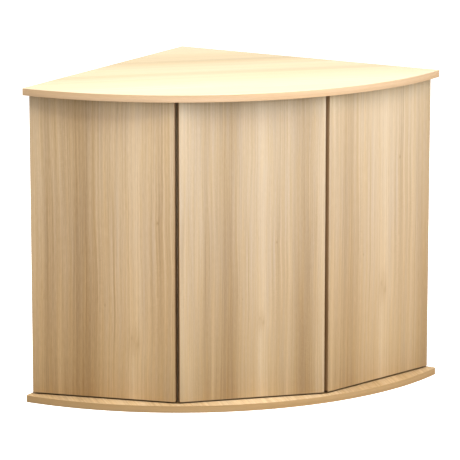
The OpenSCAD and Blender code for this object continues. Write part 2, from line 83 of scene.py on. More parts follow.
class Recipe:
    """A material under construction: short calls that add nodes and return their output sockets."""

    def __init__(self, name: str) -> None:
        """Starts an empty node material.

        Args:
            name: Name of the new material.
        """
        self.material = bpy.data.materials.new(name)
        self.material.use_nodes = True
        self.nodes = self.material.node_tree.nodes
        self.links = self.material.node_tree.links
        self.nodes.clear()

    def feed(self, value: Operand, socket: Socket) -> None:
        """Links a socket, or sets a plain value, into an input.

        Args:
            value: An output socket, a number or a vector.
            socket: The input that takes it.
        """
        if isinstance(value, bpy.types.NodeSocket):
            self.links.new(value, socket)
        elif socket.type == "RGBA":
            socket.default_value = (*value, 1.0)
        else:
            socket.default_value = value

    def object_place(self) -> Socket:
        """Position on the piece in the row frame, in metres."""
        return self.nodes.new("ShaderNodeTexCoord").outputs["Object"]

    def number(self, operation: str, *values: Operand, clamp: bool = False) -> Socket:
        """Adds a Math node.

        Args:
            operation: Blender's name of the operation.
            values: Its operands.
            clamp: Whether the result stays between 0 and 1.

        Returns:
            The result's socket.
        """
        node = self.nodes.new("ShaderNodeMath")
        node.operation = operation
        node.use_clamp = clamp
        for value, socket in zip(values, node.inputs):
            self.feed(value, socket)
        return node.outputs[0]

    def vector(self, operation: str, a: Operand, b: Operand) -> Socket:
        """Adds a Vector Math node of two operands.

        Args:
            operation: Blender's name of the operation.
            a: First operand.
            b: Second operand.

        Returns:
            The resulting vector's socket.
        """
        node = self.nodes.new("ShaderNodeVectorMath")
        node.operation = operation
        self.feed(a, node.inputs[0])
        self.feed(b, node.inputs[1])
        return node.outputs["Vector"]

    def split(self, vector: Operand) -> tuple[Socket, Socket, Socket]:
        """Separates a vector into its three numbers.

        Args:
            vector: The vector.

        Returns:
            The sockets of its x, y and z.
        """
        node = self.nodes.new("ShaderNodeSeparateXYZ")
        self.feed(vector, node.inputs[0])
        return node.outputs[0], node.outputs[1], node.outputs[2]

    def join(self, x: Operand, y: Operand, z: Operand) -> Socket:
        """Combines three numbers into a vector.

        Args:
            x: First number.
            y: Second number.
            z: Third number.

        Returns:
            The vector's socket.
        """
        node = self.nodes.new("ShaderNodeCombineXYZ")
        for value, socket in zip((x, y, z), node.inputs):
            self.feed(value, socket)
        return node.outputs[0]

    def share(self, value: Operand, low: float, high: float, clamp: bool = False) -> Socket:
        """Finds where a value lies between two limits.

        Args:
            value: What is measured.
            low: Limit that gives 0.
            high: Limit that gives 1.
            clamp: Whether the result stays between 0 and 1.

        Returns:
            The share's socket.
        """
        span = high - low
        return self.number("MULTIPLY_ADD", value, 1.0 / span, -low / span, clamp=clamp)

    def window(
        self, value: Operand, low: float, high: float, out: tuple[float, float] = (0.0, 1.0)
    ) -> Socket:
        """Adds a smooth step.

        Args:
            value: What is measured.
            low: Value at which the step starts.
            high: Value at which the step ends; it may be the smaller one.
            out: What the step gives at its start and at its end.

        Returns:
            The stepped value's socket.
        """
        node = self.nodes.new("ShaderNodeMapRange")
        node.interpolation_type = "SMOOTHSTEP"
        first, last = out
        if low > high:
            low, high, first, last = high, low, last, first
        names = ("Value", "From Min", "From Max", "To Min", "To Max")
        for given, name in zip((value, low, high, first, last), names):
            self.feed(given, node.inputs[name])
        return node.outputs["Result"]

    def noise(
        self, place: Operand, grain_size: Sequence[float], detail: float = 2.0, rough: float = 0.5
    ) -> Socket:
        """Adds noise whose features have the given size along each axis.

        Args:
            place: Position in metres.
            grain_size: Size of one feature along x, y and z, in metres.
            detail: Octaves of the noise.
            rough: Strength of each octave against the last.

        Returns:
            A value around 0, mostly between -0.5 and 0.5.
        """
        node = self.nodes.new("ShaderNodeTexNoise")
        self.feed(self.vector("DIVIDE", place, tuple(grain_size)), node.inputs["Vector"])
        node.inputs["Scale"].default_value = 1.0
        node.inputs["Detail"].default_value = detail
        node.inputs["Roughness"].default_value = rough
        return self.number("SUBTRACT", node.outputs["Fac"], 0.5)

    def ramp(self, value: Operand, stops: Sequence[tuple[float, Colour]]) -> Socket:
        """Adds a colour ramp.

        Args:
            value: A number between 0 and 1.
            stops: Pairs of position and linear colour, in order.

        Returns:
            The colour's socket.
        """
        node = self.nodes.new("ShaderNodeValToRGB")
        band = node.color_ramp
        band.interpolation = "LINEAR"
        while len(band.elements) < len(stops):
            band.elements.new(1.0)
        for element, (position, colour) in zip(band.elements, stops):
            element.position = position
            element.color = (*colour, 1.0)
        self.feed(value, node.inputs["Fac"])
        return node.outputs["Color"]

    def mix(self, share: Operand, a: Operand, b: Operand) -> Socket:
        """Mixes two colours.

        Args:
            share: Share of the second colour.
            a: First colour.
            b: Second colour.

        Returns:
            The mixed colour's socket.
        """
        node = self.nodes.new("ShaderNodeMix")
        node.data_type = "RGBA"
        self.feed(share, node.inputs[0])
        self.feed(a, node.inputs[6])
        self.feed(b, node.inputs[7])
        return node.outputs[2]

    def bump(self, height: Socket, depth: float) -> Socket:
        """Adds a bump.

        Args:
            height: Height of the surface, in units of depth.
            depth: Real depth of one unit, in metres.

        Returns:
            The bumped normal's socket.
        """
        node = self.nodes.new("ShaderNodeBump")
        node.inputs["Strength"].default_value = 1.0
        node.inputs["Distance"].default_value = depth
        self.feed(height, node.inputs["Height"])
        return node.outputs["Normal"]

    def surface(
        self, colour: Operand, roughness: Operand, normal: Socket, **constants: float
    ) -> Material:
        """Adds the shader and finishes the material.

        Args:
            colour: Base colour.
            roughness: Roughness, a socket or a number.
            normal: Bumped normal.
            constants: Values for the shader's own inputs, with underscores for spaces.

        Returns:
            The finished material.
        """
        shader = self.nodes.new("ShaderNodeBsdfPrincipled")
        self.feed(colour, shader.inputs["Base Color"])
        self.feed(roughness, shader.inputs["Roughness"])
        self.feed(normal, shader.inputs["Normal"])
        for name, value in constants.items():
            shader.inputs[name.replace("_", " ")].default_value = value
        output = self.nodes.new("ShaderNodeOutputMaterial")
        self.links.new(shader.outputs[0], output.inputs["Surface"])
        return self.material


# ---- decors


@dataclass(frozen=True)
class Placement:
    """Where a decor lies on a piece.

    Attributes:
        origin: Row-frame point on which the decor's own origin falls.
        across: Direction across the grain.
        along: Direction of the grain.
        stretch: Size of the decor across and along the grain, against its true size.
    """

    origin: Vector
    across: Vector
    along: Vector
    stretch: tuple[float, float] = (1.0, 1.0)

    def turn(self) -> Euler:
        """Rotation that carries the decor's axes, across, depth and along, onto the piece."""
        depth = self.along.cross(self.across)
        return Matrix((self.across, depth, self.along)).transposed().to_euler()

    def place(self, recipe: Recipe) -> Socket:
        """Position in the decor's frame: x across the grain, y through the board, z along it.

        Args:
            recipe: The material.

        Returns:
            The position's socket, in metres.
        """
        node = recipe.nodes.new("ShaderNodeMapping")
        node.vector_type = "TEXTURE"
        recipe.feed(recipe.object_place(), node.inputs["Vector"])
        node.inputs["Location"].default_value = self.origin
        node.inputs["Rotation"].default_value = self.turn()
        node.inputs["Scale"].default_value = (self.stretch[0], 1.0, self.stretch[1])
        return node.outputs[0]


@dataclass(frozen=True)
class ArcPlacement:
    """Where a decor lies on a band that is bent round a vertical axis.

    Attributes:
        axis: Row-frame point on the axis of the arc, at the decor's mid height.
        radius: Radius of the band.
    """

    axis: Vector
    radius: float

    def place(self, recipe: Recipe) -> Socket:
        """Position in the decor's frame, with the grain running round the arc.

        Args:
            recipe: The material.

        Returns:
            The position's socket, in metres.
        """
        x, y, z = recipe.split(recipe.vector("SUBTRACT", recipe.object_place(), self.axis))
        angle = recipe.number("ARCTAN2", x, recipe.number("MULTIPLY", y, -1.0))
        return recipe.join(z, 0.0, recipe.number("MULTIPLY", angle, self.radius))


@dataclass(frozen=True)
class GrainLayer:
    """One layer of the noise that makes up a decor's grain.

    Attributes:
        size: Size of a feature across the grain, through the board and along it, in metres.
        strength: How much the layer changes what it is added to.
        detail: Octaves of the noise.
        rough: Strength of each octave against the last.
        limits: Noise at which the layer starts and is full, or None for plain noise.
    """

    size: tuple[float, float, float]
    strength: float = 1.0
    detail: float = 1.0
    rough: float = 0.5
    limits: Union[tuple[float, float], None] = None

    def draw(self, recipe: Recipe, place: Socket) -> Socket:
        """The layer's value at a place on the decor, before its strength."""
        value = recipe.noise(place, self.size, self.detail, self.rough)
        return recipe.window(value, *self.limits) if self.limits else value


BENDS = GrainLayer((0.16, 0.30, 0.42), 0.016, 2.0)
RIPPLES = GrainLayer((0.05, 0.20, 0.11), 0.0022)
WIDE_STREAKS = GrainLayer((0.0085, 0.05, 0.55), 3.0, 2.5, 0.62)
NARROW_STREAKS = GrainLayer((0.0038, 0.03, 0.60), 4.6, 1.0, 0.7)
DARK_LINES = GrainLayer((0.0050, 0.03, 0.55), -0.9, 0.0, 0.5, (0.13, 0.26))
FIBRES = GrainLayer((0.0014, 0.008, 0.022), 4.5, 2.0, 0.6)
CURL = GrainLayer((0.012, 0.02, 0.0042), 0.14, 1.5)
CURL_PATCHES = GrainLayer((0.03, 0.08, 0.30), 1.0, 1.0, 0.5, (0.06, 0.22))
PORES = GrainLayer((0.0006, 0.004, 0.0055), -0.09, 1.0, 0.5, (0.19, 0.27))
YELLOWNESS = GrainLayer((0.014, 0.06, 0.40), 1.0, 3.0, 0.7)
WEAR = GrainLayer((0.09, 0.09, 0.13), 0.10, 4.0, 0.65)

YELLOW_TINT = (-0.12, 0.36)
SHADE_POWERS = (0.79, 1.0, 1.33)
DARKEST, LIGHTEST = 0.3, 1.7
SHADE_STEPS = 8
TONE_PEAK = 2.0
# Scale of the ramp of painted shade by height.
HEIGHT_SHADE_PEAK = 1.2
CONTRAST_HEIGHTS = (-0.25, 0.5)
VEIN_BULGE = 0.006
VEIN_LINE = (0.0026, 0.0002)
VEIN_TONE = -0.16
RIM_DEPTHS = (0.6 * MM, 2.2 * MM)
FIBRE_GLOSS = 0.10
FIBRE_RELIEF = 0.6
SKIN_RELIEF = 0.02 * MM
SKIN_SPECULAR = 0.35


@dataclass(frozen=True)
class Blemish:
    """A small knot or figure in a decor.

    Attributes:
        across: Its place across the grain, in metres from the decor's origin.
        along: Its place along the grain.
        width: Its half width.
        length: Its half length.
        tone: How much it changes the brightness at its centre.
    """

    across: float
    along: float
    width: float
    length: float
    tone: float

    def draw(self, recipe: Recipe, across: Socket, along: Socket) -> Socket:
        """Change of brightness that the blemish makes.

        Args:
            recipe: The material.
            across: Position across the grain, in metres.
            along: Position along the grain, in metres.

        Returns:
            The change's socket.
        """
        x = recipe.share(across, self.across, self.across + self.width)
        z = recipe.share(along, self.along, self.along + self.length)
        spread = recipe.number("MULTIPLY_ADD", x, x, recipe.number("MULTIPLY", z, z))
        fall = recipe.number("EXPONENT", recipe.number("MULTIPLY", spread, -1.0))
        return recipe.number("MULTIPLY", fall, self.tone)


@dataclass(frozen=True)
class DoorFootShade:
    """A darker line painted on the base board along the foot of the doors, as painted shade for the
    gap under them.

    Attributes:
        corner: Wall corner of the boards.
        reach: Distance from the corner to the line's front, square to each door.
        turns: Turn of each door about the corner.
        width: Width of the line.
        tone: Brightness of the board in the line.
        front_blur: Width over which the line's front fades.
        back_blur: Share of the width over which its back fades.
    """

    corner: Vector
    reach: float
    turns: tuple[float, ...]
    width: float = 24.0 * MM
    tone: float = 0.42
    front_blur: float = 1.0 * MM
    back_blur: float = 0.3

    def draw(self, recipe: Recipe) -> Socket:
        """Brightness of the board, lower in the painted shade line.

        Args:
            recipe: The material.

        Returns:
            The brightness's socket.
        """
        x, y, _ = recipe.split(recipe.vector("SUBTRACT", recipe.object_place(), self.corner))
        distance = 0.0
        for turn in self.turns:
            part = recipe.number("MULTIPLY", y, -math.cos(turn))
            reached = recipe.number("MULTIPLY_ADD", x, math.sin(turn), part)
            distance = recipe.number("MAXIMUM", distance, reached)
        start = self.reach - self.width
        front = recipe.window(distance, self.reach, self.reach - self.front_blur)
        back = recipe.window(distance, start, start + self.back_blur * self.width)
        inside = recipe.number("MULTIPLY", front, back)
        return recipe.number("MULTIPLY_ADD", inside, self.tone - 1.0, 1.0)


@dataclass(frozen=True)
class WoodDecor:
    """A printed wood decor under a satin melamine skin.

    Attributes:
        body: Linear colour at middle brightness.
        tones: Brightness across the grain, as pairs of place in metres and brightness.
        contrast: How strongly the tones show, at the low and at the high end of the decor.
        blemishes: Knots and figures.
        vein: Place of a lens-shaped pair of dark lines, or None.
        streaks: Strength of the streaks a few millimetres wide.
        fibres: Strength of the fibres about a millimetre wide.
        roughness: Roughness of the melamine.
        shade_behind_rim: Painted shade: brightness of the piece behind its rim, against that of the
            rim, for the shade in the gaps between pieces.
        painted_height_shade: Painted shade as a tint of the colour by height above the floor, in
            metres, or empty.
    """

    body: Colour
    tones: tuple[tuple[float, float], ...]
    contrast: tuple[float, float] = (1.0, 1.0)
    blemishes: tuple[Blemish, ...] = ()
    vein: Union[tuple[float, float, float], None] = None
    streaks: float = 0.10
    fibres: float = 0.07
    roughness: float = 0.46
    shade_behind_rim: float = 1.0
    painted_height_shade: tuple[tuple[float, Colour], ...] = ()

    def shade(self, brightness: float) -> Colour:
        """Colour of the wood at a brightness; dark streaks are yellower and light ones paler."""
        red, green, blue = (part * brightness**power for part, power in zip(self.body, SHADE_POWERS))
        return (red, green, blue)

    def wander(self, recipe: Recipe, place: Socket) -> tuple[Socket, Socket, Socket]:
        """Bends the grain slowly to and fro.

        Args:
            recipe: The material.
            place: Position in the decor's frame.

        Returns:
            The bent position across the grain, and the plain depth and length.
        """
        across, depth, along = recipe.split(place)
        for layer in (BENDS, RIPPLES):
            across = recipe.number("MULTIPLY_ADD", layer.draw(recipe, place), layer.strength, across)
        return across, depth, along

    def brightness_across(self, recipe: Recipe, across: Socket, along: Socket) -> Socket:
        """Broad tone of the decor, which repeats across the grain.

        Args:
            recipe: The material.
            across: Position across the grain, in metres.
            along: Position along the grain, in metres.

        Returns:
            The brightness's socket.
        """
        low, high = self.tones[0][0], self.tones[-1][0]
        share = recipe.share(recipe.number("WRAP", across, low, high), low, high)
        stops = [((place - low) / (high - low), (tone / TONE_PEAK,) * 3) for place, tone in self.tones]
        tone = recipe.number("MULTIPLY_ADD", recipe.ramp(share, stops), TONE_PEAK, -1.0)
        strength = recipe.window(along, *CONTRAST_HEIGHTS, self.contrast)
        return recipe.number("MULTIPLY_ADD", tone, strength, 1.0)

    def painted_shade_by_height(self, recipe: Recipe) -> Socket:
        """Painted shade: a tint by height that makes the colour darker and yellower towards the floor.

        Args:
            recipe: The material.

        Returns:
            The tint's socket.
        """
        _, _, height = recipe.split(recipe.object_place())
        stops = [(z, tuple(part / HEIGHT_SHADE_PEAK for part in tint)) for z, tint in self.painted_height_shade]
        return recipe.vector("MULTIPLY", recipe.ramp(height, stops), (HEIGHT_SHADE_PEAK,) * 3)

    def tint_by_streak(self, recipe: Recipe, bent: Socket) -> Socket:
        """Tint of the streaks, some of which are yellower and some pinker than the rest.

        Args:
            recipe: The material.
            bent: Position on the decor, with its slow bends.

        Returns:
            The tint's socket.
        """
        hue = YELLOWNESS.draw(recipe, bent)
        red, blue = (recipe.number("MULTIPLY_ADD", hue, part, 1.0) for part in YELLOW_TINT)
        return recipe.join(red, 1.0, blue)

    def vein_tone(self, recipe: Recipe, across: Socket, along: Socket) -> Socket:
        """Two thin dark lines that part and meet again like a pointed lens.

        Args:
            recipe: The material.
            across: Position across the grain, in metres.
            along: Position along the grain, in metres.

        Returns:
            The change of brightness's socket.
        """
        place, low, high = self.vein
        share = recipe.share(along, low, high, clamp=True)
        bulge = recipe.number("SINE", recipe.number("MULTIPLY", share, math.pi))
        offset = recipe.number("ABSOLUTE", recipe.number("SUBTRACT", across, place))
        gap = recipe.number("ABSOLUTE", recipe.number("MULTIPLY_ADD", bulge, -VEIN_BULGE, offset))
        line = recipe.window(gap, *VEIN_LINE)
        return recipe.number("MULTIPLY", recipe.number("MULTIPLY", line, bulge), VEIN_TONE)

    def grain_tone(
        self, recipe: Recipe, bent: Socket, fibre: Socket, pores: Socket, tone: Socket
    ) -> Socket:
        """Adds the fine grain to a tone.

        Args:
            recipe: The material.
            bent: Position on the decor, with its slow bends.
            fibre: Noise of the fibres.
            pores: Mask of the pores.
            tone: Broad tone of the decor.

        Returns:
            The tone with its grain.
        """
        for layer in (WIDE_STREAKS, NARROW_STREAKS, DARK_LINES):
            strength = self.streaks * layer.strength
            tone = recipe.number("MULTIPLY_ADD", layer.draw(recipe, bent), strength, tone)
        tone = recipe.number("MULTIPLY_ADD", fibre, self.fibres * FIBRES.strength, tone)
        curl = recipe.number("MULTIPLY", CURL.draw(recipe, bent), CURL_PATCHES.draw(recipe, bent))
        tone = recipe.number("MULTIPLY_ADD", curl, CURL.strength, tone)
        return recipe.number("MULTIPLY_ADD", pores, PORES.strength, tone)

    def colour_of(self, recipe: Recipe, tone: Socket, bent: Socket) -> Socket:
        """Colour of the decor.

        Args:
            recipe: The material.
            tone: Brightness of the decor.
            bent: Position on the decor, with its slow bends.

        Returns:
            The colour's socket.
        """
        steps = [k / SHADE_STEPS for k in range(SHADE_STEPS + 1)]
        stops = [(step, self.shade(DARKEST + (LIGHTEST - DARKEST) * step)) for step in steps]
        colour = recipe.ramp(recipe.share(tone, DARKEST, LIGHTEST, clamp=True), stops)
        # Painted shade: tint by height, darker and yellower towards the floor.
        if self.painted_height_shade:
            colour = recipe.vector("MULTIPLY", colour, self.painted_shade_by_height(recipe))
        return recipe.vector("MULTIPLY", colour, self.tint_by_streak(recipe, bent))

    def material(
        self, placement: Union[Placement, ArcPlacement], name: str, foot_shade: Union[DoorFootShade, None] = None
    ) -> Material:
        """Builds the decor as laid on one piece.

        Args:
            placement: Where the decor lies on the piece.
            name: Name of the material.
            foot_shade: Painted shade line along the foot of the doors on the piece, if it has one.

        Returns:
            The finished material.
        """
        recipe = Recipe(name)
        place = placement.place(recipe)
        across, depth, along = self.wander(recipe, place)
        bent = recipe.join(across, depth, along)
        fibre = FIBRES.draw(recipe, bent)
        pores = PORES.draw(recipe, bent)
        tone = self.brightness_across(recipe, across, along)
        tone = self.grain_tone(recipe, bent, fibre, pores, tone)
        for blemish in self.blemishes:
            tone = recipe.number("ADD", tone, blemish.draw(recipe, across, along))
        if self.vein:
            tone = recipe.number("ADD", tone, self.vein_tone(recipe, across, along))
        # Painted shade behind the front rim, for the shade in the gaps between the doors.
        if self.shade_behind_rim < 1.0:
            fade = recipe.window(depth, *RIM_DEPTHS, (1.0, self.shade_behind_rim))
            tone = recipe.number("MULTIPLY", tone, fade)
        # Painted shade: a darker line along the foot of the doors.
        if foot_shade:
            tone = recipe.number("MULTIPLY", tone, foot_shade.draw(recipe))
        colour = self.colour_of(recipe, tone, bent)
        gloss = recipe.number("MULTIPLY_ADD", fibre, FIBRE_GLOSS, self.roughness)
        gloss = recipe.number("MULTIPLY_ADD", WEAR.draw(recipe, place), WEAR.strength, gloss)
        relief = recipe.number("MULTIPLY", fibre, FIBRE_RELIEF)
        relief = recipe.number("SUBTRACT", relief, pores)
        normal = recipe.bump(relief, SKIN_RELIEF)
        return recipe.surface(colour, gloss, normal, Specular_IOR_Level=SKIN_SPECULAR)


DOOR_TONES = (
    (-0.300, 1.20), (-0.276, 1.17), (-0.250, 1.08), (-0.220, 1.03),
    (-0.203, 0.89), (-0.190, 0.90), (-0.176, 1.01), (-0.152, 0.90),
    (-0.130, 0.80), (-0.110, 0.79), (-0.094, 0.87), (-0.072, 1.02),
    (-0.045, 1.08), (-0.022, 1.08), (-0.010, 1.19), (0.000, 1.26),
    (0.012, 1.21), (0.026, 1.12), (0.042, 1.08), (0.062, 0.99),
    (0.084, 1.02), (0.095, 1.09), (0.112, 0.99), (0.130, 0.86),
    (0.152, 0.79), (0.172, 0.83), (0.192, 0.95), (0.212, 1.09),
    (0.232, 1.17),
)
BOARD_TONES = (
    (-0.360, 1.10), (-0.250, 1.06), (-0.205, 0.97), (-0.178, 0.91),
    (-0.150, 0.92), (-0.122, 0.84), (-0.090, 0.94), (-0.030, 1.03),
    (0.020, 1.00), (0.047, 0.88), (0.075, 1.00), (0.150, 1.04),
    (0.230, 1.12), (0.330, 1.04),
)
# Base board tones: grain bands, with painted shade darker towards both sides, where the strip in front
# of the doors is narrower and shaded.
BASE_TONES_AND_SHADE = (
    (-0.500, 0.80), (-0.380, 0.82), (-0.310, 1.05), (-0.225, 0.90),
    (-0.130, 0.94), (-0.050, 1.14), (0.030, 1.16), (0.110, 0.98),
    (0.160, 1.00), (0.230, 0.78), (0.300, 0.74), (0.350, 0.88),
    (0.400, 0.76), (0.500, 0.80),
)
PLAIN_TONES = (
    (-0.150, 1.00), (-0.100, 0.93), (-0.045, 1.05), (0.010, 0.95),
    (0.060, 1.06), (0.110, 0.96), (0.150, 1.00),
)
BAND_TONES = (
    (-0.012, 1.00), (-0.005, 0.94), (0.002, 1.04), (0.008, 0.97),
    (0.012, 1.00),
)

DOOR_DECOR = WoodDecor(
    body=(0.555, 0.440, 0.280),
    tones=DOOR_TONES,
    contrast=(1.35, 0.84),
    blemishes=(
        Blemish(0.000, 0.000, 0.013, 0.034, -0.17),
        Blemish(0.008, -0.004, 0.004, 0.008, -0.14),
        Blemish(-0.006, 0.012, 0.003, 0.006, -0.10),
        Blemish(0.026, 0.000, 0.009, 0.040, 0.06),
        Blemish(0.057, 0.282, 0.0024, 0.0042, -0.26),
        Blemish(-0.070, 0.085, 0.0018, 0.0035, -0.16),
    ),
    vein=(-0.196, -0.10, 0.52),
    # Painted shade by height: darker and yellower towards the floor, darkest at the door's foot, and
    # bluer just under the top board.
    painted_height_shade=(
        (0.020, (0.86, 0.79, 0.68)),
        (0.060, (0.97, 0.88, 0.76)),
        (0.110, (1.04, 0.95, 0.83)),
        (0.200, (1.07, 0.99, 0.91)),
        (0.300, (1.08, 1.02, 0.98)),
        (0.400, (1.06, 1.02, 1.02)),
        (0.550, (1.04, 1.02, 1.04)),
        (0.660, (1.03, 1.02, 1.05)),
        (0.700, (0.99, 1.04, 1.13)),
    ),
)
# Side doors: copies of the door decor whose body colour and contrast are changed as painted light and
# shade for each door.
LEFT_DOOR_PAINTED_LIGHT_DECOR = replace(
    DOOR_DECOR, body=(0.603, 0.456, 0.270), contrast=(1.45, 0.92), streaks=0.125, fibres=0.09
)
RIGHT_DOOR_PAINTED_LIGHT_DECOR = replace(DOOR_DECOR, body=(0.608, 0.480, 0.302), contrast=(1.00, 0.64))
BOARD_DECOR = WoodDecor(
    body=(0.635, 0.508, 0.324),
    tones=BOARD_TONES,
    streaks=0.06,
    fibres=0.05,
)
BASE_DECOR = WoodDecor(
    body=(0.680, 0.485, 0.265),
    tones=BASE_TONES_AND_SHADE,
    streaks=0.12,
    fibres=0.06,
)
BAND_DECOR = WoodDecor(
    body=(0.630, 0.440, 0.260),
    tones=BAND_TONES,
    streaks=0.07,
    fibres=0.05,
    roughness=0.40,
)
# Painted shade: the band decor made darker and yellower for the base's band near the floor.
BASE_BAND_SHADED_DECOR = replace(BAND_DECOR, body=(0.620, 0.412, 0.196))
DOOR_BAND_DECOR = WoodDecor(
    body=(0.560, 0.430, 0.270),
    tones=BAND_TONES,
    streaks=0.07,
    fibres=0.05,
    roughness=0.40,
    # Painted shade: the band is darker behind its front rim, in the gaps between the doors.
    shade_behind_rim=0.55,
    # Painted shade by height: a dark foot on the band's bottom rim for the shade under the door, then
    # darker and yellower towards the floor.
    painted_height_shade=(
        (0.0196, (0.42, 0.40, 0.36)),
        (0.0212, (0.95, 0.88, 0.80)),
        (0.1100, (1.04, 0.96, 0.85)),
        (0.3000, (1.06, 1.00, 0.96)),
        (0.7100, (1.02, 1.00, 1.00)),
    ),
)
INNER_DECOR = WoodDecor(
    body=(0.640, 0.490, 0.320),
    tones=PLAIN_TONES,
    streaks=0.08,
    fibres=0.05,
)


# ---- plain finishes


@dataclass(frozen=True)
class MetalFinish:
    """A plated or cast metal.

    Attributes:
        treatment: Surface treatment, which names the record's slot.
        colour: Linear colour of the metal.
        roughness: Roughness of clean metal.
        mottle: How much the roughness and colour vary from place to place.
        grain: Size of the surface texture, in metres.
        relief: Depth of the surface texture, in metres.
        stain_size: Size of the dull patches, in metres.
        stain_spread: How far the patches reach, per unit of mottle.
        stain_base: Share of dullness all over.
        dulling: Brightness of a dull patch against clean metal.
    """

    treatment: Steel
    colour: Colour
    roughness: float
    mottle: float
    grain: float
    relief: float
    stain_size: float = 11.0 * MM
    stain_spread: float = 3.0
    stain_base: float = 0.25
    dulling: float = 0.78

    def material(self) -> Material:
        """Builds the finish."""
        recipe = Recipe(self.treatment.value)
        place = recipe.object_place()
        stain = recipe.noise(place, (self.stain_size,) * 3, detail=4.0, rough=0.6)
        fine = recipe.noise(place, (self.grain,) * 3, detail=2.0)
        dull = tuple(part * self.dulling for part in self.colour)
        spread = self.mottle * self.stain_spread
        share = recipe.number("MULTIPLY_ADD", stain, spread, self.stain_base, clamp=True)
        colour = recipe.mix(share, self.colour, dull)
        roughness = recipe.number("MULTIPLY_ADD", stain, self.mottle, self.roughness)
        roughness = recipe.number("MULTIPLY_ADD", fine, self.mottle * 0.5, roughness)
        normal = recipe.bump(fine, self.relief)
        return recipe.surface(colour, roughness, normal, Metallic=1.0)


@dataclass(frozen=True)
class PlasticFinish:
    """A moulded plastic with a fine eroded texture.

    Attributes:
        slot: The record's material slot.
        colour: Linear colour.
        roughness: Roughness of the texture.
        sheen: Strength of the grazing sheen.
        texture_size: Size of the eroded texture, in metres.
        texture_depth: Depth of the eroded texture, in metres.
        texture_gloss: How much the texture changes the roughness.
        cloud_size: Size of the paler patches, in metres.
        cloud_spread: How far the patches reach.
        cloud_base: Share of paleness all over.
        paleness: Brightness of a pale patch against the rest.
    """

    slot: str
    colour: Colour
    roughness: float
    sheen: float
    texture_size: float = 0.4 * MM
    texture_depth: float = 0.012 * MM
    texture_gloss: float = 0.12
    cloud_size: float = 20.0 * MM
    cloud_spread: float = 1.2
    cloud_base: float = 0.4
    paleness: float = 1.10

    def material(self) -> Material:
        """Builds the finish."""
        recipe = Recipe(self.slot)
        place = recipe.object_place()
        texture = recipe.noise(place, (self.texture_size,) * 3, detail=2.0)
        cloud = recipe.noise(place, (self.cloud_size,) * 3, detail=3.0)
        pale = tuple(min(1.0, part * self.paleness) for part in self.colour)
        share = recipe.number("MULTIPLY_ADD", cloud, self.cloud_spread, self.cloud_base, clamp=True)
        colour = recipe.mix(share, self.colour, pale)
        roughness = recipe.number("MULTIPLY_ADD", texture, self.texture_gloss, self.roughness)
        normal = recipe.bump(texture, self.texture_depth)
        return recipe.surface(colour, roughness, normal, Sheen_Weight=self.sheen)


@dataclass(frozen=True)
class BeechFinish:
    """Unfinished turned beech with its short dark flecks.

    Attributes:
        slot: The record's material slot.
        pale: Linear colour of the early wood.
        dark: Linear colour of the late wood and the flecks.
        grain: Noise of the year rings.
        flecks: Noise of the flecks.
        late_wood: Share of the dark colour all over.
        roughness: Roughness of the turned wood.
        grain_gloss: How much the grain changes the roughness.
        relief: Depth of the grain, in metres.
        specular: Specular level of the bare wood.
    """

    slot: str = "dowel_wood"
    pale: Colour = (0.56, 0.38, 0.20)
    dark: Colour = (0.40, 0.24, 0.11)
    grain: GrainLayer = GrainLayer((0.0011, 0.0011, 0.030), 1.6, 3.0, 0.6)
    flecks: GrainLayer = GrainLayer((0.0005, 0.0005, 0.0016), 0.5, 1.0, 0.5, (0.12, 0.22))
    late_wood: float = 0.35
    roughness: float = 0.68
    grain_gloss: float = 0.2
    relief: float = 0.03 * MM
    specular: float = 0.3

    def material(self) -> Material:
        """Builds the finish."""
        recipe = Recipe(self.slot)
        place = recipe.object_place()
        grain, fleck = self.grain.draw(recipe, place), self.flecks.draw(recipe, place)
        share = recipe.number("MULTIPLY_ADD", grain, self.grain.strength, self.late_wood, clamp=True)
        share = recipe.number("MULTIPLY_ADD", fleck, self.flecks.strength, share, clamp=True)
        colour = recipe.mix(share, self.pale, self.dark)
        roughness = recipe.number("MULTIPLY_ADD", grain, self.grain_gloss, self.roughness)
        normal = recipe.bump(grain, self.relief)
        return recipe.surface(colour, roughness, normal, Specular_IOR_Level=self.specular)


NICKEL = MetalFinish(Steel.NICKEL, (0.66, 0.64, 0.60), 0.26, 0.10, 0.0006, 0.004 * MM)
ZINC_PLATED = MetalFinish(Steel.ZINC_PLATED, (0.56, 0.57, 0.58), 0.34, 0.16, 0.0005, 0.006 * MM)
DIE_CAST = MetalFinish(Steel.DIE_CAST, (0.44, 0.44, 0.45), 0.48, 0.18, 0.0008, 0.02 * MM)
GREY_PLASTIC = PlasticFinish("grey_plastic", (0.27, 0.27, 0.26), 0.55, 0.15)
PALE_PLASTIC = PlasticFinish("plunger_plastic", (0.60, 0.60, 0.58), 0.45, 0.10)
BEECH = BeechFinish()


# ---- dressing CAD pieces


WELD_REACH = 0.002 * MM
SOFTENED_ANGLE = math.radians(35.0)


@dataclass(frozen=True)
class Dressing:
    """Adds softened edges and a finish to a CAD node without changing its mesh.

    Attributes:
        edge: Width of the softened edge, in metres.
        segments: Facets across the softened edge.
    """

    edge: float
    segments: int = 2

    def dress(self, node: str, material: Material) -> bpy.types.Object:
        """Finishes one CAD node.

        Args:
            node: Name of the CAD node.
            material: Finish for all its faces.

        Returns:
            The node's object.
        """
        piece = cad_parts[node]
        piece.data.materials.clear()
        piece.data.materials.append(material)
        weld = piece.modifiers.new("weld", "WELD")
        weld.merge_threshold = WELD_REACH
        bevel = piece.modifiers.new("softened_edges", "BEVEL")
        bevel.width = self.edge
        bevel.segments = self.segments
        bevel.limit_method = "ANGLE"
        bevel.angle_limit = SOFTENED_ANGLE
        bevel.use_clamp_overlap = True
        shading = piece.modifiers.new("even_shading", "WEIGHTED_NORMAL")
        shading.keep_sharp = False
        LOG.info("%s: %s, edges softened by %.2f mm", node, material.name, self.edge / MM)
        return piece


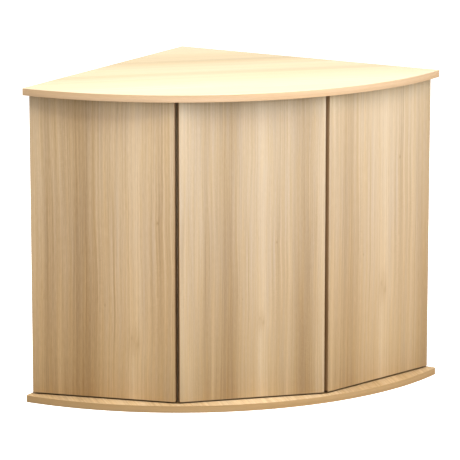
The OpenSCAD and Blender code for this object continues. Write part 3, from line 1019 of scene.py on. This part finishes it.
BOARD_EDGES = Dressing(0.25 * MM)
BAND_EDGES = Dressing(0.30 * MM, 3)
CORE_EDGES = Dressing(0.08 * MM)
PRESSED_EDGES = Dressing(0.30 * MM)
SMALL_EDGES = Dressing(0.20 * MM)
MOULDED_EDGES = Dressing(0.60 * MM, 3)
WIRE_EDGES = Dressing(0.02 * MM, 1)


# ---- sub-assemblies


def middle_of(node: str) -> Vector:
    """Centre of a CAD node's box at rest."""
    low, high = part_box(node)
    return (low + high) / 2.0


@dataclass
class Layout:
    """Sizes of the cabinet, read from the frame.

    Attributes:
        corner: Wall corner of the boards, on the floor.
        face_distance: Distance from the corner to the outer face of a door.
        board_radius: Radius of the boards.
        facet_turn: Angle from one door to the next.
    """

    corner: Vector
    face_distance: float
    board_radius: float
    facet_turn: float = math.radians(30.0)

    @classmethod
    def from_frame(cls) -> "Layout":
        """Reads the layout from the boxes of the top board and the middle door."""
        low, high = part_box("top_edge_band")
        corner = Vector((0.0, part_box("top_board")[1].y, 0.0))
        door_low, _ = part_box("middle_door")
        return cls(corner, corner.y - door_low.y, corner.y - low.y)

    def facet_point(self, turn: float, across: float, height: float) -> Vector:
        """Point on the outer plane of a door.

        Args:
            turn: The door's turn about the wall corner.
            across: Distance to the right of the door's middle line.
            height: Height above the floor.

        Returns:
            The point in the row frame.
        """
        flat = Vector((across, -self.face_distance, height))
        return self.corner + Matrix.Rotation(turn, 3, "Z") @ flat


@dataclass
class Carcass:
    """Boards, panels, rails and shelves."""

    layout: Layout

    def board(
        self,
        name: str,
        decor: WoodDecor,
        band: WoodDecor,
        across: Vector,
        along: Vector,
        foot_shade: Union[DoorFootShade, None] = None,
    ) -> None:
        """Dresses one quarter-round board and the band round its arc.

        Args:
            name: First word of the board's node names.
            decor: Decor of its faces.
            band: Decor of its band.
            across: Direction across the grain.
            along: Direction of the grain.
            foot_shade: Painted shade line along the foot of the doors on its top, if it has one.
        """
        centre = middle_of(f"{name}_board")
        placement = Placement(Vector((0.0, 0.0, centre.z)), across, along)
        BOARD_EDGES.dress(f"{name}_board", decor.material(placement, f"{name}_board_decor", foot_shade))
        axis = Vector((0.0, self.layout.corner.y, centre.z))
        arc = ArcPlacement(axis, self.layout.board_radius)
        BAND_EDGES.dress(f"{name}_edge_band", band.material(arc, f"{name}_band_decor"))

    def panel(self, node: str, across: Vector, along: Vector = UPWARD) -> None:
        """Dresses one inner panel in the plain decor.

        Args:
            node: Name of the CAD node.
            across: Direction across the grain.
            along: Direction of the grain.
        """
        placement = Placement(middle_of(node), across.normalized(), along)
        BOARD_EDGES.dress(node, INNER_DECOR.material(placement, f"{node}_decor"))

    def build(self) -> None:
        """Dresses every board and panel."""
        turns = tuple(place.value * self.layout.facet_turn for place in DoorPlace)
        # Painted shade line on the base board under the doors.
        foot_shade = DoorFootShade(self.layout.corner, self.layout.face_distance, turns)
        self.board("top", BOARD_DECOR, BAND_DECOR, -BACKWARD, RIGHTWARD)
        self.board("base", BASE_DECOR, BASE_BAND_SHADED_DECOR, RIGHTWARD, BACKWARD, foot_shade)
        self.panel("left_side_panel", RIGHTWARD + BACKWARD)
        self.panel("right_side_panel", RIGHTWARD - BACKWARD)
        self.panel("left_partition", BACKWARD)
        self.panel("right_partition", BACKWARD)
        for rail in ("upper_back_rail", "lower_back_rail"):
            self.panel(rail, UPWARD, RIGHTWARD)
        for shelf in ("left_shelf", "right_shelf"):
            self.panel(shelf, BACKWARD, RIGHTWARD)


@dataclass
class JoiningHardware:
    """Dowels, cam fittings and shelf pins inside the boards."""

    nickel: Material
    plated: Material
    cast: Material
    beech: Material

    def build(self) -> None:
        """Dresses the fittings that hold the boards together."""
        SMALL_EDGES.dress("shelf_pins", self.nickel)
        SMALL_EDGES.dress("dowels", self.beech)
        SMALL_EDGES.dress("cam_locks", self.cast)
        for fastener in ("cam_bolts", "hinge_plate_screws", "arm_fixing_screws", "latch_screws"):
            SMALL_EDGES.dress(fastener, self.plated)


@dataclass
class Door:
    """One flat door with its edge band.

    Attributes:
        place: Which door it is.
        layout: Sizes of the cabinet.
        figure_across: Place of the decor's figure, right of the door's middle line.
        figure_height: Height of the figure above the floor.
        stretch: Size of the decor across and along the grain.
        decor: Decor of the door; the side doors take copies whose body colour and contrast are changed
            as painted light and shade.
    """

    place: DoorPlace
    layout: Layout
    figure_across: float
    figure_height: float
    stretch: tuple[float, float]
    decor: WoodDecor = DOOR_DECOR

    def placement(self) -> Placement:
        """Where the decor lies on this door."""
        turn = self.place.value * self.layout.facet_turn
        origin = self.layout.facet_point(turn, self.figure_across, self.figure_height)
        across = Matrix.Rotation(turn, 3, "Z") @ RIGHTWARD
        return Placement(origin, across, UPWARD, self.stretch)

    def build(self) -> None:
        """Dresses the door leaf and its band."""
        label = self.place.label
        placement = self.placement()
        CORE_EDGES.dress(f"{label}_door", self.decor.material(placement, f"{label}_door_decor"))
        band = DOOR_BAND_DECOR.material(placement, f"{label}_door_band_decor")
        BAND_EDGES.dress(f"{label}_door_edge_band", band)


@dataclass
class Fittings:
    """Hinges and push latch of one door."""

    place: DoorPlace
    nickel: Material
    plated: Material
    housing: Material
    plunger: Material

    def build(self) -> None:
        """Dresses the hinges and the latch."""
        label = self.place.label
        for name in ("hinge_cups", "hinge_arms", "hinge_plates", "strike_plate"):
            PRESSED_EDGES.dress(f"{label}_{name}", self.nickel)
        for name in ("hinge_pins", "cup_screws"):
            SMALL_EDGES.dress(f"{label}_{name}", self.plated)
        MOULDED_EDGES.dress(f"{label}_latch_housing", self.housing)
        MOULDED_EDGES.dress(f"{label}_latch_plunger", self.plunger)
        WIRE_EDGES.dress(f"{label}_latch_spring", self.plated)


# ---- studio


@dataclass(frozen=True)
class Softbox:
    """An area light that looks at the cabinet.

    Attributes:
        name: Name of the light.
        azimuth: Angle to the right of the front, in degrees.
        elevation: Angle above the horizon, in degrees.
        distance: Distance from the point it looks at, in metres.
        size: Width and height of the light, in metres.
        power: Power, in watts.
        colour: Linear colour.
        glare: Whether the light shows in glossy surfaces.
    """

    name: str
    azimuth: float
    elevation: float
    distance: float
    size: tuple[float, float]
    power: float
    colour: Colour
    glare: bool = True

    def hang(self, target: Vector) -> None:
        """Hangs the light.

        Args:
            target: Point that the light looks at.
        """
        light = bpy.data.lights.new(self.name, "AREA")
        light.shape = "RECTANGLE"
        light.size, light.size_y = self.size
        light.energy = self.power
        light.color = self.colour
        lamp = bpy.data.objects.new(self.name, light)
        lamp.visible_camera = False
        lamp.visible_glossy = self.glare
        place_around(lamp, target, self.azimuth, self.elevation, self.distance)
        bpy.context.scene.collection.objects.link(lamp)


def place_around(
    item: bpy.types.Object, target: Vector, azimuth: float, elevation: float, distance: float
) -> None:
    """Puts a light or camera on a sphere round a point and turns it to look at that point.

    Args:
        item: The light or camera.
        target: Point that it looks at.
        azimuth: Angle to the right of the front, in degrees.
        elevation: Angle above the horizon, in degrees.
        distance: Distance from the point, in metres.
    """
    a, e = math.radians(azimuth), math.radians(elevation)
    away = Vector((math.sin(a) * math.cos(e), -math.cos(a) * math.cos(e), math.sin(e)))
    item.location = target + distance * away
    item.rotation_euler = away.to_track_quat("Z", "Y").to_euler()


@dataclass
class Studio:
    """Camera, lights and a plain pale floor.

    Attributes:
        target: Point that the lights look at.
        camera_aim: Point that the camera looks at.
        camera_azimuth: Camera's angle to the right of the front, in degrees.
        camera_elevation: Camera's angle above the horizon, in degrees.
        camera_distance: Camera's distance from its aim, in metres.
        lens: Focal length, in millimetres.
        sight: Farthest distance that the camera shows, in metres.
        floor_half: Half the floor's side, in metres.
        floor_drop: How far the floor lies below the cabinet, in metres.
        floor_colour: Linear colour of the floor.
        floor_roughness: Roughness of the floor.
        floor_texture: Size of the floor's texture, in metres.
        floor_relief: Depth of the floor's texture, in metres.
        floor_glow: Strength of the floor's own light.
        ambient: Strength of the ambient light.
        ambient_colour: Linear colour of the ambient light.
        lights: The softboxes.
    """

    target: Vector
    camera_aim: Vector = Vector((-0.0083, -0.1383, 0.3757))
    camera_azimuth: float = -14.77
    camera_elevation: float = 12.24
    camera_distance: float = 7.5
    lens: float = 254.0
    sight: float = 200.0
    floor_half: float = 40.0
    floor_drop: float = 0.2 * MM
    floor_colour: Colour = (0.85, 0.85, 0.85)
    floor_roughness: float = 0.9
    floor_texture: float = 0.3
    floor_relief: float = 0.1 * MM
    floor_glow: float = 1.0
    ambient: float = 0.42
    ambient_colour: Colour = (1.10, 1.0, 0.90)
    lights: tuple[Softbox, ...] = (
        Softbox("left_key", -35.0, 58.0, 1.9, (0.8, 0.8), 15.5, (1.0, 1.0, 0.92)),
        Softbox("right_fill", 42.0, 37.0, 1.35, (0.7, 0.7), 6.05, (0.94, 1.0, 1.12)),
        Softbox("front_fill", -10.0, 36.0, 1.3, (0.7, 0.7), 3.85, (1.0, 1.0, 1.12)),
        Softbox("low_fill", 35.0, 8.0, 3.0, (1.4, 1.4), 17.0, (1.12, 1.0, 0.88)),
        Softbox("overhead", 0.0, 82.0, 3.0, (1.0, 1.0), 45.0, (0.88, 1.0, 1.15)),
        Softbox("left_rear_softbox", 225.0, 22.0, 3.2, (1.6, 1.6), 50.0, (1.0, 1.0, 1.0), False),
        Softbox("right_rear_softbox", 135.0, 22.0, 3.2, (1.6, 1.6), 50.0, (1.0, 1.0, 1.0), False),
    )

    def camera(self) -> None:
        """Makes the camera."""
        lens = bpy.data.cameras.new("camera")
        lens.lens = self.lens
        lens.clip_end = self.sight
        eye = bpy.data.objects.new("camera", lens)
        angles = (self.camera_azimuth, self.camera_elevation)
        place_around(eye, self.camera_aim, *angles, self.camera_distance)
        bpy.context.scene.collection.objects.link(eye)
        bpy.context.scene.camera = eye

    def floor(self) -> None:
        """Makes the pale floor, which is bright by itself and throws no colour on the cabinet."""
        mesh = bpy.data.meshes.new("floor")
        half = self.floor_half
        corners = [(-half, -half, 0.0), (half, -half, 0.0), (half, half, 0.0), (-half, half, 0.0)]
        mesh.from_pydata(corners, [], [(0, 1, 2, 3)])
        floor = bpy.data.objects.new("floor", mesh)
        bpy.context.scene.collection.objects.link(floor)
        recipe = Recipe("pale_floor")
        texture = recipe.noise(recipe.object_place(), (self.floor_texture,) * 3)
        normal = recipe.bump(texture, self.floor_relief)
        glow = {"Emission_Strength": self.floor_glow, "Emission_Color": WHITE}
        mesh.materials.append(recipe.surface(self.floor_colour, self.floor_roughness, normal, **glow))
        floor.location.z = -self.floor_drop
        floor.visible_diffuse = False
        floor.visible_glossy = False
        floor.visible_shadow = False
        floor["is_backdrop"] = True

    def world(self) -> None:
        """Sets a weak even ambient light, with a white backdrop behind the floor."""
        world = bpy.data.worlds.new("studio")
        world.use_nodes = True
        nodes, links = world.node_tree.nodes, world.node_tree.links
        nodes.clear()
        ambient = nodes.new("ShaderNodeBackground")
        ambient.inputs["Strength"].default_value = self.ambient
        backdrop = nodes.new("ShaderNodeBackground")
        backdrop.inputs["Color"].default_value = WHITE
        ambient.inputs["Color"].default_value = (*self.ambient_colour, 1.0)
        rays = nodes.new("ShaderNodeLightPath")
        choice = nodes.new("ShaderNodeMixShader")
        output = nodes.new("ShaderNodeOutputWorld")
        links.new(rays.outputs["Is Camera Ray"], choice.inputs[0])
        links.new(ambient.outputs[0], choice.inputs[1])
        links.new(backdrop.outputs[0], choice.inputs[2])
        links.new(choice.outputs[0], output.inputs["Surface"])
        bpy.context.scene.world = world

    def build(self) -> None:
        """Sets up the whole studio."""
        self.camera()
        self.world()
        self.floor()
        for softbox in self.lights:
            softbox.hang(self.target)
        bpy.context.scene.view_settings.view_transform = "Standard"
        LOG.info("studio: %d softboxes", len(self.lights))


# ---- main


def main() -> None:
    """Builds the studio, then dresses the cabinet from its carcass outward."""
    logging.basicConfig(level=logging.INFO, format="%(name)s %(message)s")
    cad_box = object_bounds()
    layout = Layout.from_frame()
    centre = (Vector(cad_box[0]) + Vector(cad_box[1])) / 2.0
    Studio(target=centre).build()
    nickel, plated, cast = NICKEL.material(), ZINC_PLATED.material(), DIE_CAST.material()
    housing, plunger = GREY_PLASTIC.material(), PALE_PLASTIC.material()
    Carcass(layout).build()
    JoiningHardware(nickel, plated, cast, BEECH.material()).build()
    doors = (
        Door(DoorPlace.LEFT, layout, 0.075, 0.151, (1.02, 1.00), LEFT_DOOR_PAINTED_LIGHT_DECOR),
        Door(DoorPlace.MIDDLE, layout, 0.021, 0.196, (0.65, 0.65)),
        Door(DoorPlace.RIGHT, layout, 0.012, 0.233, (0.98, 1.08), RIGHT_DOOR_PAINTED_LIGHT_DECOR),
    )
    for door in doors:
        door.build()
        Fittings(door.place, nickel, plated, housing, plunger).build()


if __name__ == "__main__":
    main()
